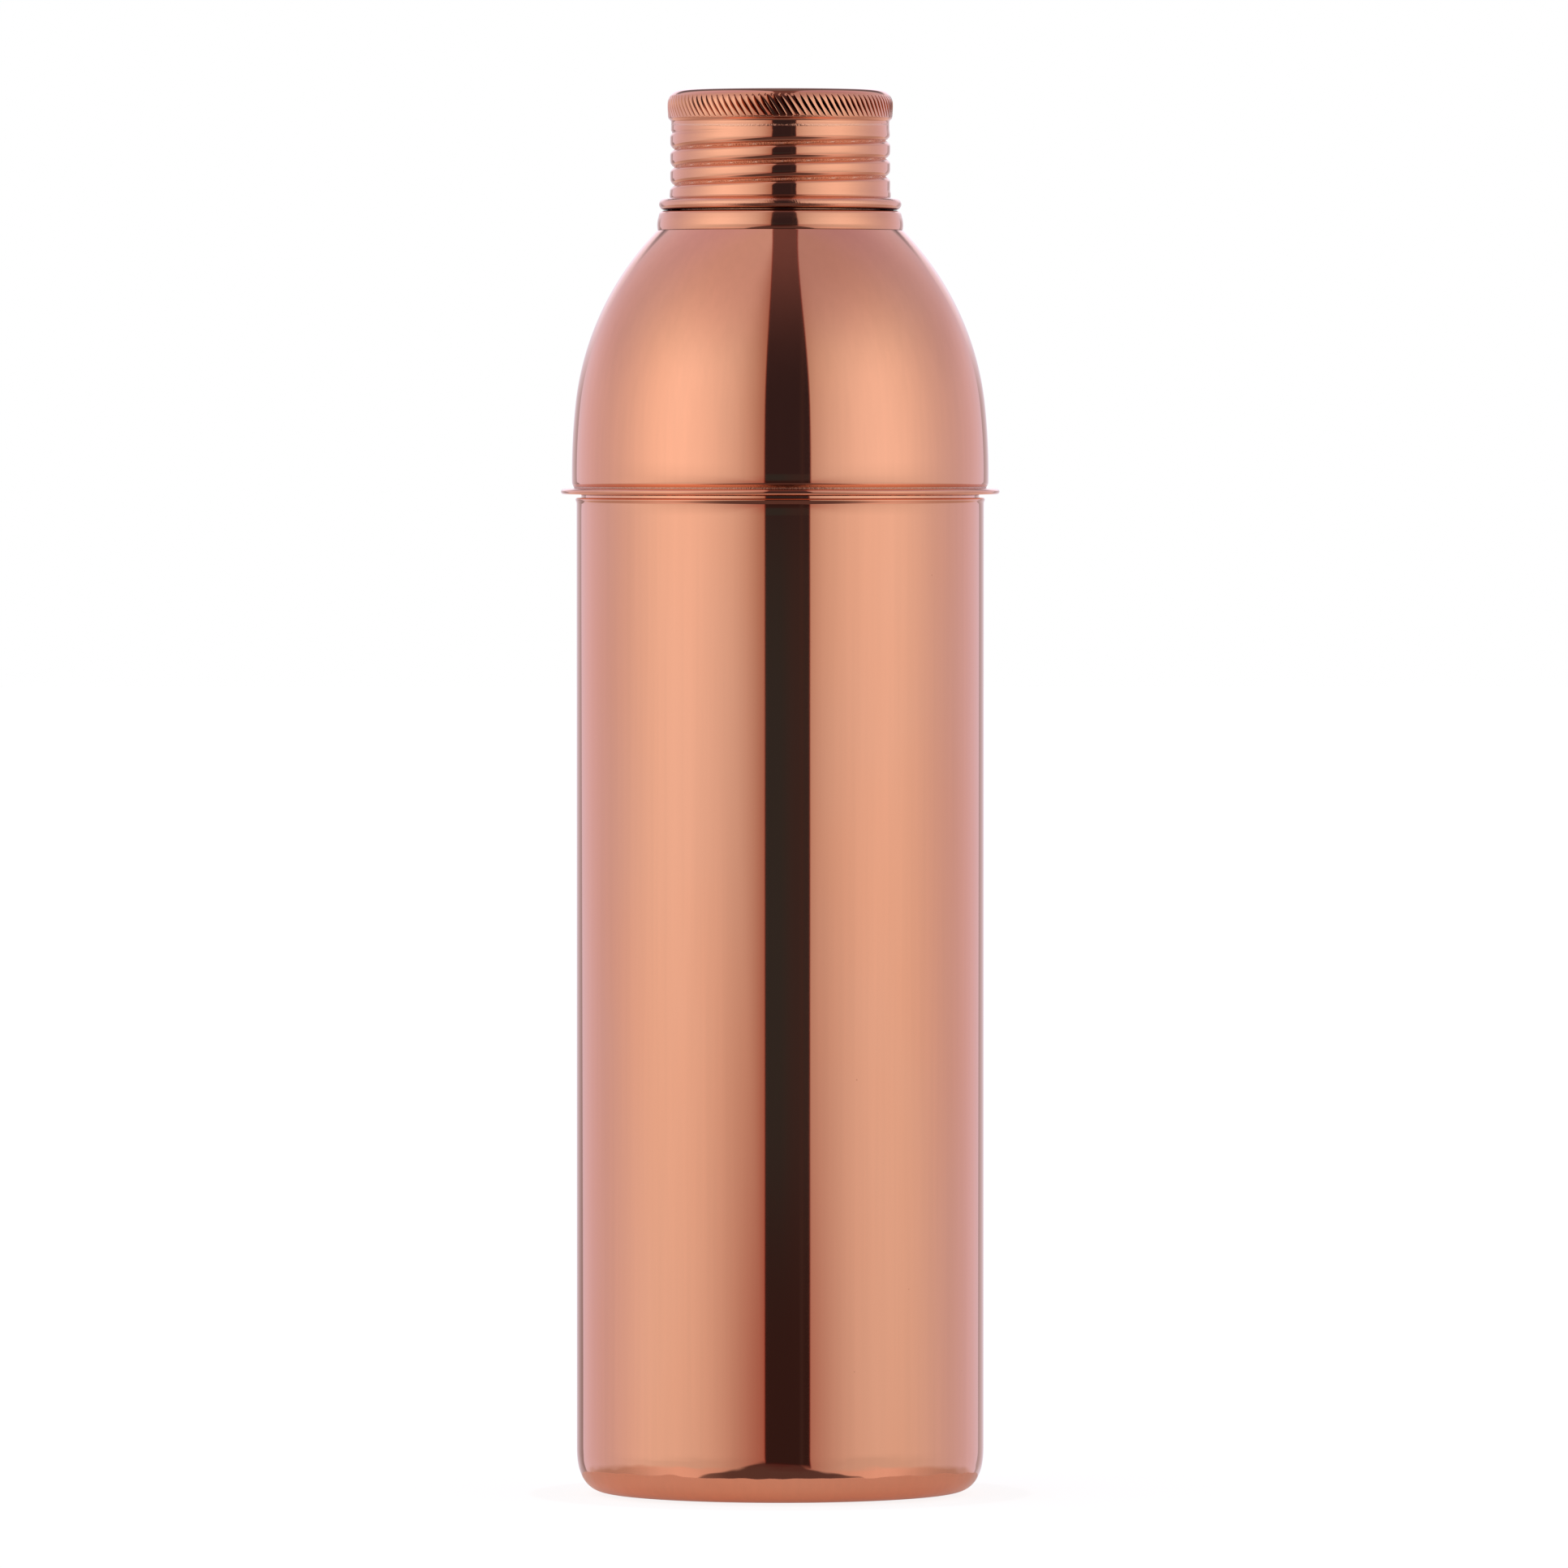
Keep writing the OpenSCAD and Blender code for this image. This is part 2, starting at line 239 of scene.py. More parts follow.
def make_shoulder():
    """The dome, which draws in a little above its round-edged flange, and the sleeve below it."""
    flange_r, sleeve_foot, ledge = extent("shoulder_shell")
    under = sleeve_foot + SLEEVE_H
    flange_top = under + FLANGE_H
    rim_w, rim_h = 0.62, FLANGE_H / 2
    rim_x, rim_z = flange_r - rim_w, under + rim_h
    round_r, gap = 1.25, 0.02
    inner_r = SLEEVE_R - SHEET

    outer = [(SLEEVE_R, sleeve_foot), (SLEEVE_R, under - 0.15)]
    outer += [(SLEEVE_R + 0.15, under), (rim_x - 0.2, under)]
    outer += [(rim_x + rim_w * x, rim_z + rim_h * z) for x, z in arc(0, 0, 1, -90, 90, 22)]
    outer += [(DOME_R - 0.2, flange_top), (DOME_R - 0.42, flange_top + 0.14)]
    outer += arc(DOME_R - round_r - gap, flange_top + round_r + gap, round_r, -46, 0, 12)
    outer += dome_line(0, flange_top + round_r + 0.3, 10, 72, LEDGE_R)
    outer += [(LEDGE_R - 0.15, ledge), (NECK_HOLE_R + 0.15, ledge)]

    inner = [(NECK_HOLE_R, ledge - 0.1), (NECK_HOLE_R, ledge - SHEET + 0.1)]
    inner += [(NECK_HOLE_R + 0.15, ledge - SHEET)]
    inner += dome_line(SHEET, flange_top + 0.2, 8, 40, LEDGE_R + 0.1)[::-1]
    inner += [(DOME_R - SHEET - 0.1, flange_top), (inner_r + 0.1, flange_top)]
    inner += [(inner_r, flange_top - 0.2), (inner_r, sleeve_foot)]

    def marks(angle, radius, z):
        """Painted shade in the notch between the dome's foot and its flange: darker, and a little rough."""
        above = z - flange_top
        notch = smooth(-0.02, 0.02, above) * (1 - smooth(0.15, 0.75, above))
        return 0.6 * notch, 0.36 * notch
    return skin("bottle_shoulder", rows_of(BODY_SIDES, outer) + rows_of(BODY_SIDES, inner, 1.0), marks)


def collar_marks(angle, radius, z):
    """The collar's top face, in the narrow gap under the cap's bead, is painted dark and rougher as painted
    shade.
    """
    return 0.0, smooth(-0.25, -0.05, z - COLLAR_TOP)


def make_collar():
    """The convex ring around the root of the neck."""
    collar_r, _, top = extent("neck_collar")
    ledge = extent("shoulder_shell")[2]
    bulge_r, edge_r = 5.0, 1.1
    bulge_x, bulge_z = collar_r - bulge_r, ledge - 1.0
    edge_z = top - edge_r
    edge_x = bulge_x + math.sqrt(bulge_r ** 2 - (edge_z - bulge_z) ** 2) - edge_r
    meet = math.degrees(math.asin((edge_z - bulge_z) / bulge_r))
    line = arc(bulge_x, bulge_z, bulge_r, -10.5, meet, 14)
    line += arc(edge_x, edge_z, edge_r, meet + 6, 90, 10)
    line += [(NECK_HOLE_R + 0.1, top), (NECK_HOLE_R, top - 0.1)]
    line += [(NECK_HOLE_R, ledge + 0.1), (NECK_HOLE_R + 0.1, ledge + 0.02)]
    line += [(LEDGE_R - 0.05, ledge + 0.02), (LEDGE_R + 0.1, ledge - 0.05)]
    return skin("neck_ring", rows_of(CAP_SIDES, line), collar_marks)


# ---------- thread ----------

def above_groove(angle, z):
    """The share of one turn between a point and the bottom of the groove below it, from 0 to 1."""
    turn = (z - THREAD_FOOT - RIDGE_ABOVE_THREAD_FOOT) / PITCH - angle / (2 * math.pi) - GROOVE_PLACE
    return turn % 1.0


def fade(z, length):
    """0 at both ends of the threaded stretch and 1 between them."""
    return smooth(0, length, z - THREAD_FOOT) * smooth(0, length, THREAD_TOP - z)


def round_cut(share):
    """The depth of the neck's thread: an even wave."""
    rise = 1 - GROOVE_PLACE
    place = share / rise if share < rise else (1 - share) / GROOVE_PLACE
    return (1 + math.cos(math.pi * place)) / 2


def sharp_cut(share):
    """The depth of the cap's thread seen from outside: wide flat ridges with a narrow groove between them."""
    rise = 1 - GROOVE_PLACE
    if share < rise:
        return min(1.12 * (1 - share / rise) ** 5.5, 1.0)
    return min(1.12 * (1 - (1 - share) / GROOVE_PLACE) ** 2.6, 1.0)


def make_neck():
    """The neck tube, its rolled thread and the pouring lip curled inwards."""
    _, foot, top = extent("neck_tube")
    curl_r = 0.9
    lip_x, lip_z = NECK_R - curl_r, top - curl_r

    def thread(inset, z):
        """A row at height z on the thread, inset by a distance."""
        def point(angle):
            depth = THREAD_DEPTH * fade(z, 1.4) * (1 - round_cut(above_groove(angle, z)))
            return NECK_R + depth - inset, z
        return point

    heights = spread(THREAD_FOOT, THREAD_TOP, 58)
    outer = [(NECK_R, foot), (NECK_R, THREAD_FOOT - 0.3)] + [thread(0, z) for z in heights]
    outer += [(NECK_R, THREAD_TOP + 0.3), (NECK_R, lip_z - 0.2)] + arc(lip_x, lip_z, curl_r, 0, 262, 22)
    inner = arc(lip_x, lip_z, curl_r - SHEET, 262, 0, 12) + [(NECK_R - SHEET, lip_z - 0.5)]
    inner += [thread(SHEET, z) for z in heights[::-2]] + [(NECK_R - SHEET, foot)]
    return skin("neck_thread", rows_of(CAP_SIDES, outer) + rows_of(CAP_SIDES, inner, 1.0))


# ---------- cap ----------

def crown_r(z):
    """The cap's outer radius from its waist up to the crown, before the knurl is cut."""
    if z > CROWN_Z:
        return KNURL_R - CROWN_EDGE_R + math.sqrt(max(CROWN_EDGE_R ** 2 - (z - CROWN_Z) ** 2, 0))
    bulge = KNURL_R - BULGE_R + math.sqrt(BULGE_R ** 2 - (z - CROWN_Z) ** 2)
    return CAP_WAIST_R + (bulge - CAP_WAIST_R) * smooth(WAIST_LOW, WAIST_HIGH, z)


def knurl_point(z):
    """A row at height z on the knurled band, whose points are (radius, height, angle).

    Each mark is a slanted spindle-shaped cut with a gentle slope on its left and a steep wall on its
    right. A mark has six points: the bottom of the cut, the wall's burr, the wall's edge, the middle of
    the land, the slope's edge and the slope's middle.
    """
    share = min(max((z - KNURL_LOW) / (KNURL_HIGH - KNURL_LOW), 0.0), 1.0)
    foot, tip = smooth(0, 0.1, share), 1 - smooth(0.5, 1, share)
    full = foot * (0.5 + 0.5 * smooth(0.05, 0.5, share)) * tip ** 0.5
    slope_w, least_w, cut_depth, burr_h = 0.46, 0.14, 0.55, 0.04
    slope = max(slope_w * full, least_w)
    places = (0, 0.05 + 0.03 * full, 0.10 + 0.07 * full, 0.5, 1 - slope, 1 - slope * 0.4)
    depths = (cut_depth * full, -burr_h * full, 0, 0, 0, 0.72 * cut_depth * full)
    step = 2 * math.pi / KNURL_COUNT

    def point(angle):
        mark, corner = divmod(round(angle * KNURL_SIDES / (2 * math.pi)), MARK_POINTS)
        turned = (mark + places[corner]) * step - KNURL_TURN * share
        return crown_r(z) - depths[corner], z, turned
    return point


def turned_point(radius, z):
    """A row above the knurl, turned as far as the knurl's top is."""
    return lambda angle: (radius, z, angle - KNURL_TURN)


def tool_trace(angle, z):
    """1 on the faint line that the rolling tool leaves where it runs out above the thread."""
    line = CAP_TOP - 5.75 - math.cos(angle / 2 + math.pi / 4) ** 2
    return 1 - smooth(0.08, 0.24, abs(z - line))


def wall_point(z):
    """A row at height z on the cap's outer wall, between the bead and the knurled band."""
    above = z - CAP_FOOT
    swell_h, trace_depth = 0.12, 0.03
    swell = swell_h * smooth(1.7, 2.3, above) * (1 - smooth(2.6, 4.2, above))
    plain = CAP_R + swell - (CAP_R - CAP_WAIST_R) * smooth(THREAD_TOP - 1.4, THREAD_TOP + 0.4, z)
    if z > CAP_TOP - 6.9:
        plain = crown_r(z)

    def point(angle):
        depth = THREAD_DEPTH * fade(z, 0.9) * sharp_cut(above_groove(angle, z))
        return plain - depth - trace_depth * tool_trace(angle, z), z
    return point


def bore_point(z):
    """A row at height z on the thread inside the cap."""
    plain = CAP_R - SHEET - (CAP_R - CAP_WAIST_R) * smooth(THREAD_TOP - 1.4, THREAD_TOP, z)
    return lambda angle: (plain - THREAD_DEPTH * fade(z, 1.4) * round_cut(above_groove(angle, z)), z)


def cap_marks(angle, radius, z):
    """The groove and dull attributes on the cap, from the bead up; dull is painted shade at the bead's foot
    and seam, in the knurl cuts and beside the thread's groove lines.
    """
    above = z - CAP_FOOT
    # painted shade: the bead's foot, in the gap above the collar, is painted dark and fades over half a
    # millimetre, with a little more in the seam over the bead
    if above < CAP_BEAD_H + 0.4:
        seam = smooth(CAP_BEAD_H, CAP_BEAD_H + 0.06, above)
        return 0.15 * (1 - seam), 1 - smooth(0.0, 0.5, above) + 0.3 * seam
    if z > KNURL_HIGH + 0.01:
        return 0.0, 0.0
    # painted shade: the deep part of each knurl cut is painted dark
    if z > KNURL_LOW:
        return 0.0, smooth(0.0, 0.17, crown_r(z) - radius)
    share = above_groove(angle, z)
    distance = min(share, 1 - share) * PITCH
    line = fade(z, 0.9) * (1 - smooth(0.16, 0.34, distance))
    # painted shade: a dark band on each side of every groove line, about a third of a millimetre away, as if
    # its step were in shadow
    edge = fade(z, 0.9) * smooth(0.2, 0.34, distance) * (1 - smooth(0.34, 0.5, distance))
    return max(line, 0.5 * tool_trace(angle, z)), 0.35 * edge


def make_cap():
    """The cap in one sheet: crown, knurled band, rolled thread and a skirt that ends in an outward bead."""
    bead_r = CAP_BEAD_H / 2
    bead_x, bead_z = CAP_R + 1.05, CAP_FOOT + bead_r
    bead_top = CAP_FOOT + CAP_BEAD_H
    crown_x = KNURL_R - CROWN_EDGE_R
    knurl_end = math.degrees(math.asin((KNURL_HIGH - CROWN_Z) / CROWN_EDGE_R))

    skirt = arc(bead_x, bead_z, bead_r, -180, 90, 24)
    skirt += [(CAP_R + 0.5, bead_top), (CAP_R + 0.2, bead_top + 0.06), (CAP_R + 0.06, bead_top + 0.2)]
    wall = [wall_point(z) for z in spread(bead_top + 0.5, KNURL_LOW - 0.06, 108)]
    knurl = [knurl_point(z) for z in spread(KNURL_LOW, KNURL_HIGH, 34)]
    crown = arc(crown_x, CROWN_Z, CROWN_EDGE_R, knurl_end + 2, 90, 12)
    crown += [(radius, CAP_TOP) for radius in (17.9, 15, 10, 5)]
    rows = rows_of(CAP_SIDES, skirt + wall) + rows_of(KNURL_SIDES, knurl)
    rows += rows_of(CAP_SIDES, [turned_point(radius, z) for radius, z in crown])
    rows += [(1, (0, CAP_TOP), 0.0), (1, (0, CAP_TOP - SHEET), 1.0)]

    inner = [(radius, CAP_TOP - SHEET) for radius in (8, 14, crown_x - 0.3)]
    inner += arc(crown_x, CROWN_Z, CROWN_EDGE_R - SHEET, 90, 0, 8)
    inner += [(CAP_WAIST_R - SHEET + 0.1, KNURL_LOW), (CAP_WAIST_R - SHEET, THREAD_TOP + 0.6)]
    inner += [bore_point(z) for z in spread(THREAD_TOP, THREAD_FOOT, 44)]
    inner += [(CAP_R - SHEET, bead_top - SHEET + 0.2), (CAP_R - SHEET + 0.2, bead_top - SHEET)]
    inner += arc(bead_x, bead_z, bead_r - SHEET, 90, -176, 14)
    return skin("cap", rows + rows_of(CAP_SIDES, inner, 1.0), cap_marks)


# ---------- node trees ----------

class Graph:
    """Short calls that add nodes to one tree. An input is a number, a tuple or another node's output."""

    def __init__(self, tree):
        self.tree = tree
        tree.nodes.clear()

    def node(self, kind, inputs=(), **settings):
        """A new node of a kind, with its inputs and settings."""
        made = self.tree.nodes.new("ShaderNode" + kind)
        for key, value in settings.items():
            setattr(made, key, value)
        for key, value in dict(inputs).items():
            self.put(made.inputs[key], value)
        return made

    def put(self, socket, value):
        """Links another node's output to a socket, or sets the socket's own value."""
        if isinstance(value, bpy.types.NodeSocket):
            self.tree.links.new(value, socket)
        elif socket.type == "VECTOR":
            socket.default_value = value[:3]
        else:
            socket.default_value = value

    def finish(self, kind, inputs, target="OutputMaterial"):
        """Adds the shader and links it to the tree's output."""
        shader = self.node(kind, inputs)
        self.put(self.node(target).inputs["Surface"], shader.outputs[0])

    def place(self):
        """Where a point is on the piece, in metres."""
        return self.node("TexCoord").outputs["Object"]

    def math(self, operation, a, b=0.0):
        return self.node("Math", {0: a, 1: b}, operation=operation).outputs[0]

    def add(self, a, b):
        return self.math("ADD", a, b)

    def less(self, a, b):
        return self.math("SUBTRACT", a, b)

    def times(self, a, b):
        return self.math("MULTIPLY", a, b)

    def ramp(self, value, low, high, to_low=0.0, to_high=1.0, kind="SMOOTHSTEP"):
        inputs = {"Value": value, "From Min": low, "From Max": high, "To Min": to_low, "To Max": to_high}
        return self.node("MapRange", inputs, interpolation_type=kind).outputs[0]

    def bell(self, value, middle, width):
        """exp(-((value - middle) / width) squared)"""
        away = self.times(self.less(value, middle), 1 / width)
        return self.math("EXPONENT", self.times(self.times(away, away), -1.0))

    def tint(self, colour, amount):
        """A colour scaled by a number."""
        return self.node("VectorMath", {0: colour, "Scale": amount}, operation="SCALE").outputs[0]

    def total(self, a, b):
        """Two colours or vectors added."""
        return self.node("VectorMath", {0: a, 1: b}, operation="ADD").outputs[0]

    def product(self, a, b):
        """Two colours or vectors multiplied."""
        return self.node("VectorMath", {0: a, 1: b}, operation="MULTIPLY").outputs[0]

    def blend(self, factor, a, b):
        """Colour a where the factor is 0 and colour b where it is 1."""
        return self.node("Mix", {0: factor, 6: a, 7: b}, data_type="RGBA").outputs[2]

    def noise(self, place, scale, stretch=(1, 1, 1), detail=2.0):
        """Even noise from 0 to 1, with about `scale` lumps to the metre, stretched along an axis."""
        moved = self.product(place, stretch)
        return self.node("TexNoise", {"Vector": moved, "Scale": scale, "Detail": detail}).outputs[0]

    def bump(self, distance, height, under=None, strength=1.0):
        """A bump as deep as distance, in metres, on top of another bump."""
        inputs = {"Strength": strength, "Distance": distance, "Height": height}
        if under:
            inputs["Normal"] = under
        return self.node("Bump", inputs).outputs[0]


def rgb(red, green, blue):
    """An opaque colour."""
    return (red, green, blue, 1.0)


WHITE = rgb(1, 1, 1)


# ---------- materials ----------

def new_material(name):
    """An empty material and its graph."""
    material = bpy.data.materials.new(name)
    material.use_nodes = True
    return material, Graph(material.node_tree)


COPPER = rgb(0.905, 0.415, 0.258)
COPPER_PALE = rgb(0.895, 0.425, 0.272)
COPPER_SCUFFED = rgb(0.93, 0.60, 0.46)
# the dark copper painted as painted shade into notches, knurl cuts and narrow gaps
COPPER_PAINTED_SHADE = rgb(0.14, 0.022, 0.013)
COPPER_PIN_MARK = rgb(0.55, 0.24, 0.15)
COPPER_INSIDE = rgb(0.70, 0.33, 0.21)


def copper(name, streak=(1, 1, 0.02), shine=0.05, seed=0.0, uneven=0.0):
    """Polished copper sheet.

    streak is how far the polishing lines are drawn out along each axis, shine its roughness, and uneven how
    far, in metres, the corner at the foot was left wavy where it was turned by hand.
    """
    material, g = new_material(name)
    place = g.total(g.place(), (seed, seed, 0))
    inside = g.node("Attribute", attribute_name="inside").outputs["Fac"]
    groove = g.node("Attribute", attribute_name="groove").outputs["Fac"]
    dull = g.node("Attribute", attribute_name="dull").outputs["Fac"]

    blotch = g.noise(place, 30, (1, 1, 0.5), 3.0)
    lines = g.noise(place, 700, streak, 3.0)
    fine = g.noise(place, 3200, streak, 2.0)
    grain = g.noise(place, 2600, (1, 1, 1), 2.0)

    # sparse pin marks, each a small dull dot in its own cell
    cells = g.node("TexVoronoi", {"Vector": place, "Scale": 210.0}, feature="F1")
    chosen = g.ramp(g.node("SeparateColor", {0: cells.outputs["Color"]}).outputs[0], 0.80, 0.82)
    speck = g.times(g.ramp(cells.outputs["Distance"], 0.022, 0.034, 1.0, 0.0), chosen)

    colour = g.blend(g.ramp(blotch, 0.35, 0.65), COPPER, COPPER_PALE)
    shade = g.add(0.985, g.times(g.ramp(lines, 0.3, 0.7, kind="LINEAR"), 0.03))
    colour = g.tint(colour, shade)
    colour = g.blend(g.times(groove, 0.75), colour, COPPER_SCUFFED)
    # painted shade: the metal turns dark where the dull attribute marks the shoulder's notch, knurl cuts,
    # groove edges and the gaps at the cap's bead
    colour = g.blend(dull, colour, COPPER_PAINTED_SHADE)
    colour = g.blend(g.times(speck, 0.5), colour, COPPER_PIN_MARK)
    colour = g.blend(g.times(inside, 0.6), colour, COPPER_INSIDE)

    rough = g.add(shine - 0.012, g.times(fine, 0.022))
    rough = g.add(rough, g.times(g.ramp(blotch, 0.5, 0.75), 0.012))
    rough = g.add(rough, g.times(speck, 0.3))
    rough = g.add(rough, g.times(groove, g.add(0.10, g.times(grain, 0.25))))
    rough = g.add(rough, g.times(dull, 0.25))
    rough = g.add(rough, g.times(inside, 0.22))

    bump = g.bump(0.000009, g.noise(place, 55, (1, 1, 0.35), 1.0))
    bump = g.bump(0.0000002, lines, bump)
    if uneven:
        height = g.node("SeparateXYZ", {0: place}).outputs[2]
        lumps = g.less(g.noise(place, 75, (1, 1, 2.2), 2.0), 0.5)
        bump = g.bump(uneven, g.times(lumps, g.ramp(height, 0.003, 0.0095, 1.0, 0.0)), bump)
    chatter = g.times(groove, g.noise(place, 4200, (1, 1, 0.5), 2.0))
    bump = g.bump(0.00012, chatter, bump)

    inputs = {"Base Color": colour, "Metallic": 1.0, "Roughness": rough, "Normal": bump}
    g.finish("BsdfPrincipled", inputs)
    return material


def braze_alloy():
    """Copper-phosphorus brazing alloy as it flowed: rippled, with dull oxide between brighter patches."""
    material, g = new_material("braze_alloy_look")
    place = g.place()
    patch = g.noise(place, 420, (1, 1, 1), 4.0)
    ripple = g.noise(place, 900, (1, 1, 3), 2.0)
    colour = g.blend(g.ramp(patch, 0.4, 0.62), rgb(0.42, 0.26, 0.15), rgb(0.72, 0.50, 0.30))
    rough = g.ramp(patch, 0.35, 0.65, 0.55, 0.28)
    bump = g.bump(0.0001, ripple, strength=0.8)
    inputs = {"Base Color": colour, "Metallic": 0.9, "Roughness": rough, "Normal": bump}
    g.finish("BsdfPrincipled", inputs)
    return material


def silicone():
    """Matt food-grade silicone, slightly cloudy, with the fine grain of its mould."""
    material, g = new_material("gasket_silicone_look")
    place = g.place()
    cloud = g.noise(place, 160, (1, 1, 1), 3.0)
    grain = g.noise(place, 5200, (1, 1, 1), 2.0)
    colour = g.blend(cloud, rgb(0.70, 0.68, 0.62), rgb(0.80, 0.79, 0.74))
    rough = g.add(0.5, g.times(grain, 0.12))
    bump = g.bump(0.00004, grain, strength=0.4)
    inputs = {"Base Color": colour, "Roughness": rough, "Normal": bump}
    inputs.update({"Subsurface Weight": 0.15, "Subsurface Scale": 0.002, "IOR": 1.41})
    g.finish("BsdfPrincipled", inputs)
    return material


def dress(obj, material):
    """Puts one material on the whole of a piece or a CAD node."""
    obj.data.materials.clear()
    obj.data.materials.append(material)


# ---------- the bottle ----------

body = make_body()
dress(body, copper("body_copper_look", shine=0.045, uneven=0.0004))
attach(body, "bottle")
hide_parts("body_shell")

shoulder = make_shoulder()
dress(shoulder, copper("shoulder_copper_look", (1, 1, 0.03), shine=0.045, seed=3.1))
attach(shoulder, "bottle")
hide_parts("shoulder_shell")

collar = make_collar()
dress(collar, copper("collar_copper_look", (1, 1, 12), shine=0.07, seed=5.7))
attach(collar, "bottle")
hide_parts("neck_collar")

neck = make_neck()
dress(neck, copper("neck_copper_look", (1, 1, 10), shine=0.12, seed=8.3))
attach(neck, "bottle")
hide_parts("neck_tube")

cap = make_cap()
dress(cap, copper("cap_copper_look", (1, 1, 12), shine=0.06, seed=1.9))
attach(cap, "cap")
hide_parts("cap_shell")

for braze in ("shoulder_braze", "neck_braze"):
    dress(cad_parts[braze], braze_alloy())
dress(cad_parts["cap_gasket"], silicone())


# ---------- stage ----------

def floor_disc(name, radius, height, colour, glow):
    """A round sheet of plain pale floor, part lit and part glowing, so that it stays even and soft."""
    sides = 96
    around = [2 * math.pi * i / sides for i in range(sides)]
    points = [(radius * math.cos(a), radius * math.sin(a), height) for a in around]
    mesh = bpy.data.meshes.new(name)
    mesh.from_pydata(points, [], [list(range(sides))])
    obj = bpy.data.objects.new(name, mesh)
    bpy.context.collection.objects.link(obj)
    material, g = new_material(name + "_look")
    inputs = {"Base Color": colour, "Roughness": 0.9, "Specular IOR Level": 0.0}
    inputs.update({"Emission Color": WHITE, "Emission Strength": glow})
    g.finish("BsdfPrincipled", inputs)
    dress(obj, material)
    return obj


# The floor that the camera sees isn't in the metal's reflections: the world's lower half stands for it there.
floor = floor_disc("floor", 9.0, -0.0004, rgb(0.30, 0.30, 0.30), 0.87)
floor.visible_glossy = False
floor.visible_diffuse = False

# Only the reflections show this small disc, which lights the bottle's bottom corner.
near_floor = floor_disc("near_floor", 0.0465, -0.0002, rgb(0.85, 0.70, 0.60), 0.16)
near_floor.visible_camera = False
near_floor.visible_diffuse = False


class Sky:
    """The directions in the world's graph. Azimuth 0 is the camera's side, and z is up.

    away is the turn from the camera's side, right is 1 on its right half, and low is 1 below the horizon.
    """

    def __init__(self, g):
        parts = g.node("SeparateXYZ", {0: g.node("TexCoord").outputs["Generated"]}).outputs
        self.x, self.y, self.z = parts[0], parts[1], parts[2]
        self.azimuth = g.math("ARCTAN2", self.x, g.times(self.y, -1.0))
        self.away = g.math("ABSOLUTE", self.azimuth)
        self.up = g.math("MAXIMUM", self.z, 0.0)
        self.right = g.ramp(self.x, -0.1, 0.1)
        self.low = g.ramp(self.z, -0.06, -0.01, 1.0, 0.0, kind="LINEAR")


def side_lights(g, sky):
    """Two broad soft lights at 60 degrees left and right of the camera, in an even pale room."""
    away, z, right = sky.away, sky.z, sky.right
    lobe_place, lobe_width, lobe_level = 60 * DEGREE, 34 * DEGREE, 0.41
    lobe = g.times(g.bell(away, lobe_place, lobe_width), lobe_level)
    lobe = g.times(lobe, g.ramp(right, 0, 1, 1.07, 0.96))
    lobe = g.times(lobe, g.ramp(z, 0.30, 0.95, 1.0, 0.0))
    lobe = g.times(lobe, g.ramp(z, -0.10, 0.03, 0.15, 1.0, kind="LINEAR"))
    room = g.less(g.ramp(right, 0, 1, 0.66, 0.635), g.times(sky.up, g.ramp(right, 0, 1, 0.04, 0.10)))
    beside = g.less(g.bell(away, 90 * DEGREE, 24 * DEGREE), 0.28)
    room = g.add(room, g.times(g.times(sky.low, g.ramp(right, 0, 1, 0.10, 0.03)), beside))
    room = g.add(room, g.times(g.ramp(away, 110 * DEGREE, 150 * DEGREE), 0.12))
    hue = g.blend(g.ramp(away, 70 * DEGREE, 140 * DEGREE), WHITE, rgb(1, 0.985, 1.25))
    light = g.tint(hue, g.add(room, lobe))
    overhead = g.blend(right, rgb(1, 0.90, 0.98), rgb(0.92, 0.78, 0.87))
    light = g.product(light, g.blend(g.ramp(z, 0.45, 0.95), WHITE, overhead))
    far_side = g.times(g.ramp(z, 0.12, 0.35), g.ramp(away, 100 * DEGREE, 135 * DEGREE))
    return g.product(light, g.blend(far_side, WHITE, rgb(0.90, 0.88, 0.88)))


def back_panel(g, sky, light):
    """Straight behind the bottle is a paler panel, with a dim edge that outlines the metal."""
    away, low, z, right = sky.away, sky.low, sky.z, sky.right
    panel_edge = 153 * DEGREE
    high = g.ramp(z, 0.02, 0.16)
    foot = g.blend(right, rgb(0.32, 0.29, 0.32), rgb(0.44, 0.42, 0.47))
    dim = g.blend(high, g.blend(low, rgb(0.40, 0.38, 0.43), foot), rgb(0.74, 0.74, 0.90))
    bright = g.blend(high, rgb(0.95, 0.90, 1.02), rgb(1.26, 1.25, 1.5))
    panel = g.blend(g.ramp(away, panel_edge, 180 * DEGREE, kind="LINEAR"), dim, bright)
    ceiling = g.times(g.ramp(z, 0.26, 0.36), g.ramp(away, 150 * DEGREE, 162 * DEGREE))
    panel = g.tint(panel, g.less(1.0, g.times(ceiling, 0.85)))
    place = g.add(away, g.times(low, g.ramp(right, 0, 1, 4 * DEGREE, 2 * DEGREE)))
    return g.blend(g.ramp(place, panel_edge + 0.6 * DEGREE, panel_edge + 2.2 * DEGREE), light, panel)


def warm_middle(g, sky, light):
    """The light fades through warm browns towards the camera's side."""
    narrow = g.bell(sky.azimuth, 0, 16.5 * DEGREE)
    broad = g.times(g.times(g.bell(sky.azimuth, 0, 28 * DEGREE), 0.78), sky.low)
    shade = g.blend(sky.low, rgb(0.51, 0.25, 0.18), rgb(0.45, 0.04, 0.0))
    return g.product(light, g.blend(g.math("MAXIMUM", narrow, broad), WHITE, shade))


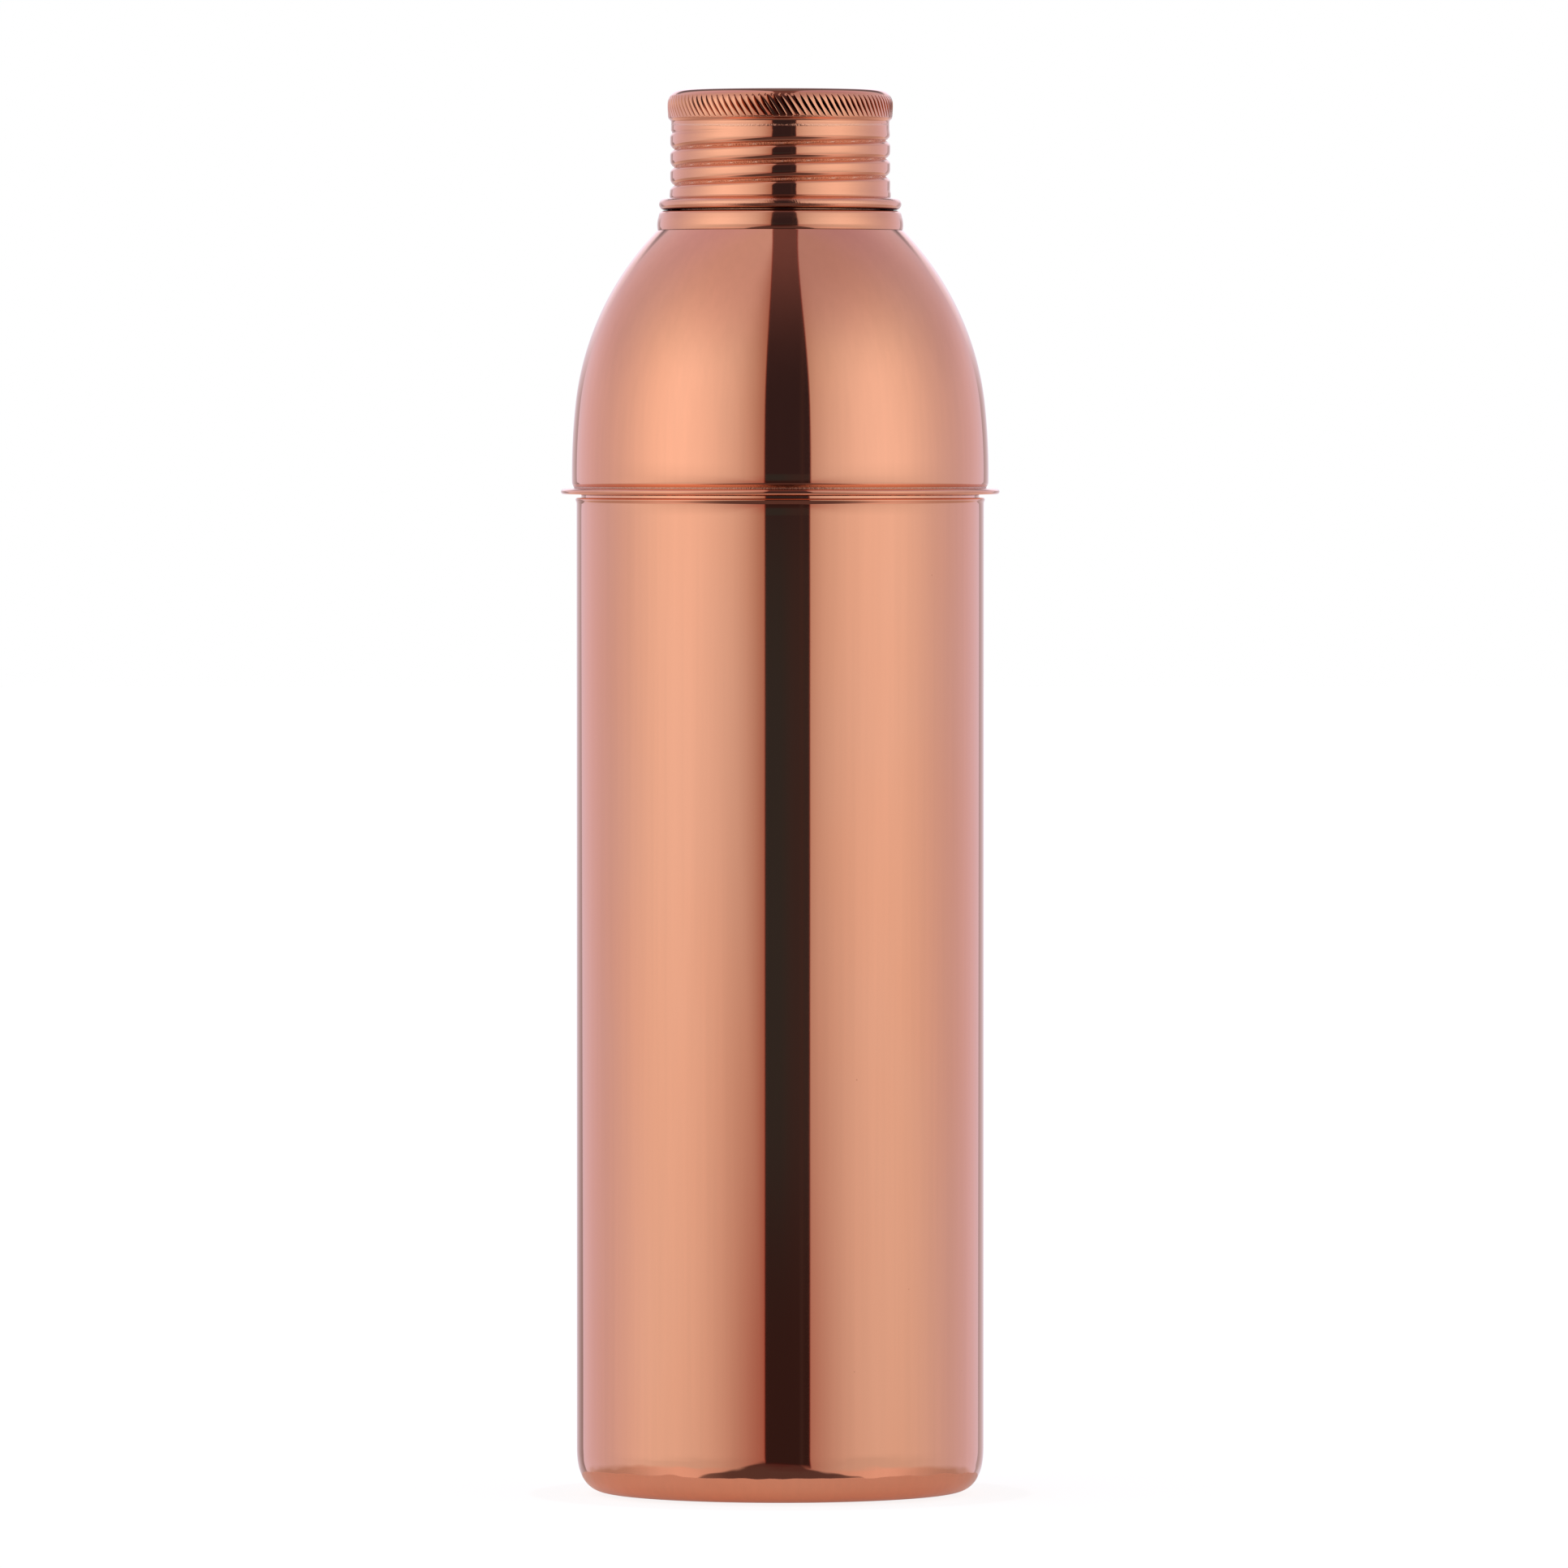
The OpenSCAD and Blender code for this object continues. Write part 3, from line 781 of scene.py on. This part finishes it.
def floor_below(g, sky, light):
    """The lower half is the floor as the metal reflects it, dark a little way in front of the bottle."""
    away, z = sky.away, sky.z
    ground = g.add(0.46, g.times(g.bell(away, 62 * DEGREE, 32 * DEGREE), 0.36))
    ground = g.add(ground, g.times(g.bell(away, 165 * DEGREE, 24 * DEGREE), 0.34))
    light = g.blend(g.ramp(z, -0.26, -0.17, 1.0, 0.0), light, g.tint(rgb(1, 0.83, 0.80), ground))
    brink = g.less(z, g.ramp(away, 10 * DEGREE, 64 * DEGREE, -0.10, -0.50, kind="LINEAR"))
    front = g.times(g.ramp(brink, -0.05, 0.0, 1.0, 0.0), g.ramp(away, 30 * DEGREE, 90 * DEGREE, 1.0, 0.0))
    front = g.times(front, g.ramp(z, -0.92, -0.80))
    return g.blend(g.times(front, 0.9), light, rgb(0.06, 0.035, 0.04))


def dark_gap(g, sky, light):
    """The upright dark gap between the two lights, through which the camera looks.

    across is a direction's place to the right of the camera's, and the gap narrows towards its top.
    """
    z = sky.z
    gap_left, gap_right, left_slope, right_slope = 0.152, 0.302, 0.09, 0.16
    above = g.times(sky.up, sky.up)
    across = g.math("DIVIDE", sky.x, g.math("SQRT", g.less(1.0001, g.times(sky.x, sky.x))))
    left_edge = g.add(across, g.less(gap_left, g.times(above, left_slope)))
    right_edge = g.less(g.less(gap_right, g.times(above, right_slope)), across)
    reach = g.times(g.ramp(sky.y, 0.05, 0.35, 1.0, 0.0), g.ramp(z, -0.17, -0.12))
    inner = g.times(g.ramp(left_edge, 0.0, 0.010), g.ramp(right_edge, 0.0, 0.012))
    outer = g.times(g.ramp(left_edge, -0.006, 0.003), g.ramp(right_edge, -0.008, 0.004))

    cool = g.blend(g.ramp(across, -0.02, 0.16), rgb(0.033, 0.045, 0.052), rgb(0.044, 0.041, 0.047))
    dark = g.blend(g.ramp(z, -0.058, -0.044), rgb(0.034, 0.021, 0.023), cool)
    dark = g.blend(g.ramp(z, -0.010, -0.003), dark, rgb(0.034, 0.027, 0.035))
    streak = g.bell(across, 0.215, 0.02)
    dark = g.blend(g.times(streak, 0.5), dark, rgb(0.058, 0.042, 0.044))
    dark = g.total(dark, g.tint(rgb(1, 0.54, 0.55), g.times(g.times(above, above), 0.13)))

    light = g.blend(g.times(outer, reach), light, g.product(light, rgb(0.5, 0.16, 0.14)))
    return g.blend(g.times(inner, reach), light, dark)


def light_room():
    """A plain studio around the bottle, all of it in the world. The camera itself sees plain white."""
    world = bpy.data.worlds.new("studio")
    bpy.context.scene.world = world
    world.use_nodes = True
    g = Graph(world.node_tree)
    sky = Sky(g)
    light = side_lights(g, sky)
    for part in (back_panel, warm_middle, floor_below, dark_gap):
        light = part(g, sky, light)
    light = g.blend(g.node("LightPath").outputs["Is Camera Ray"], light, WHITE)
    g.finish("Background", {"Color": light, "Strength": 1.0}, "OutputWorld")


light_room()

# the camera stands far back, above the bottle's middle, and looks slightly down
VIEW_X = 0.0007
camera_data = bpy.data.cameras.new("camera")
camera_data.lens = 354.3
camera_data.sensor_width = 36
camera_data.clip_end = 50
camera = bpy.data.objects.new("camera", camera_data)
camera.location = (VIEW_X, -2.842, 0.195)
target = Vector((VIEW_X, 0, 0.1304))
camera.rotation_euler = (target - camera.location).to_track_quat("-Z", "Y").to_euler()
bpy.context.collection.objects.link(camera)
bpy.context.scene.camera = camera
bpy.context.scene.view_settings.view_transform = "Standard"
